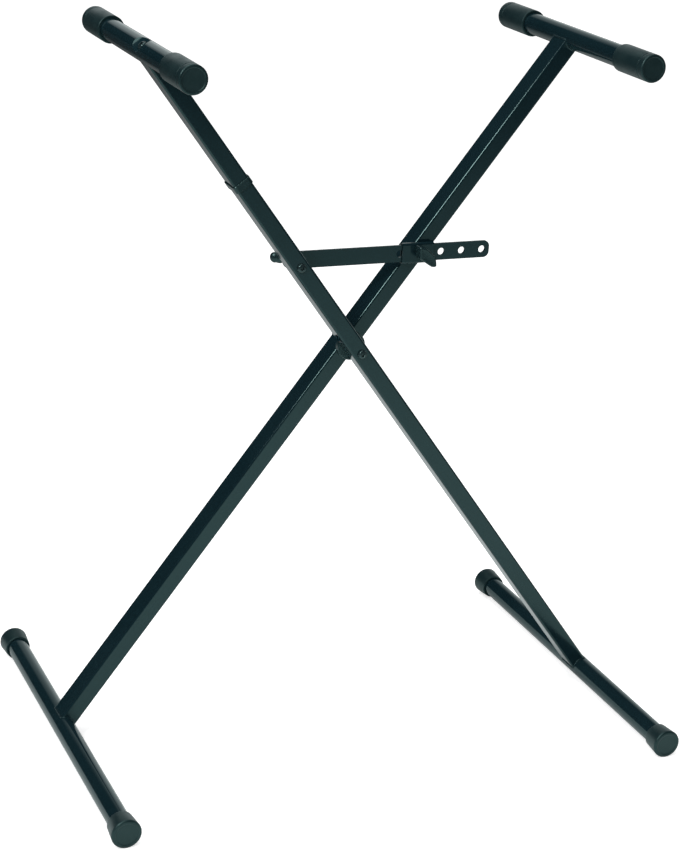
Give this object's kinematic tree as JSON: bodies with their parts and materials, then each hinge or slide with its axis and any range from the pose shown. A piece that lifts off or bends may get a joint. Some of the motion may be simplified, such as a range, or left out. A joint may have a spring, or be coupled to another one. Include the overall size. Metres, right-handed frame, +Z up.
{
  "type": "folding keyboard stand",
  "caption": "Crossed-leg folding stand for a music keyboard, with round feet and arms, rubber sleeves, and a flat brace bar locked by a sprung pin.",
  "frame": {"origin": "on the floor, straight below the main pivot and half way along the feet", "axes": "+X from the front leg's arm to the rear leg's arm, +Y from front to back along the pivot bolt, +Z up"},
  "size_m": [0.7008, 0.485, 0.8238],
  "materials": {
    "black_enamel": "smooth gloss black enamel with a cool cast",
    "black_rubber": "satin moulded rubber",
    "black_plastic": "fine matte moulded plastic",
    "blackened_steel": "blackened steel, satin",
    "plated_steel": "zinc plated"
  },
  "bodies": {
    "rear_leg": {"rear_leg_tube": "black_enamel", "rear_leg_crush_tubes": "plated_steel", "rear_foot_tube": "black_enamel", "rear_foot_cap_front": "black_rubber", "rear_foot_cap_back": "black_rubber", "rear_arm_tube": "black_enamel", "rear_arm_sleeve_front": "black_rubber", "rear_arm_sleeve_back": "black_rubber", "pivot_bolt": "blackened_steel", "pivot_sleeve": "plated_steel", "pivot_spacer": "black_plastic", "pivot_washer": "blackened_steel", "pivot_nut": "blackened_steel", "guide_rivet": "blackened_steel", "guide_washer": "black_plastic"},
    "front_leg": {"front_leg_lower_tube": "black_enamel", "front_leg_upper_tube": "black_enamel", "front_leg_spigot": "plated_steel", "front_leg_collar": "black_plastic", "front_leg_crush_tubes": "plated_steel", "front_leg_plug": "plated_steel", "front_foot_tube": "black_enamel", "front_foot_cap_front": "black_rubber", "front_foot_cap_back": "black_rubber", "front_arm_tube": "black_enamel", "front_arm_sleeve_front": "black_rubber", "front_arm_sleeve_back": "black_rubber", "arm_screw": "blackened_steel", "brace_bolt": "blackened_steel", "brace_washers": "black_plastic"},
    "brace": {"brace_bar": "black_enamel"},
    "brace_nut": {"brace_nut_wings": "black_plastic", "brace_nut_insert": "plated_steel"},
    "latch_guide": {"latch_guide": "black_enamel", "latch_barrel": "black_enamel"},
    "latch_grip": {"lock_pin": "plated_steel", "latch_grip": "black_plastic", "lock_spring": "plated_steel"}
  },
  "joints": [
    {"name": "fold", "type": "hinge", "parent": "rear_leg", "child": "front_leg", "pos_m": [0, 0, 0.46161], "axis": [0, 1, 0], "range_deg": [-52.7, 58]},
    {"name": "brace_swing", "type": "hinge", "parent": "front_leg", "child": "brace", "pos_m": [-0.0797, 0, 0.56809], "axis": [0, 1, 0], "range_deg": [-29.5, 26.9]},
    {"name": "guide_swivel", "type": "hinge", "parent": "rear_leg", "child": "latch_guide", "pos_m": [0.0797, 0, 0.56809], "axis": [0, 1, 0], "range_deg": [-26.9, 29.5]},
    {"name": "latch_pull", "type": "slide", "parent": "latch_guide", "child": "latch_grip", "axis": [0, -1, 0], "range_m": [0, 0.004], "stiffness_N_per_m": 1200, "springref_m": -0.004, "deforming": ["lock_spring"]},
    {"name": "brace_nut_turn", "type": "hinge", "parent": "front_leg", "child": "brace_nut", "pos_m": [-0.0797, 0, 0.56809], "axis": [0, 1, 0], "range_deg": [-90, 90]}
  ],
  "couplings": [
    {"joint": "brace_swing", "follows": "fold", "ratio": -0.5},
    {"joint": "guide_swivel", "follows": "fold", "ratio": 0.5}
  ]
}
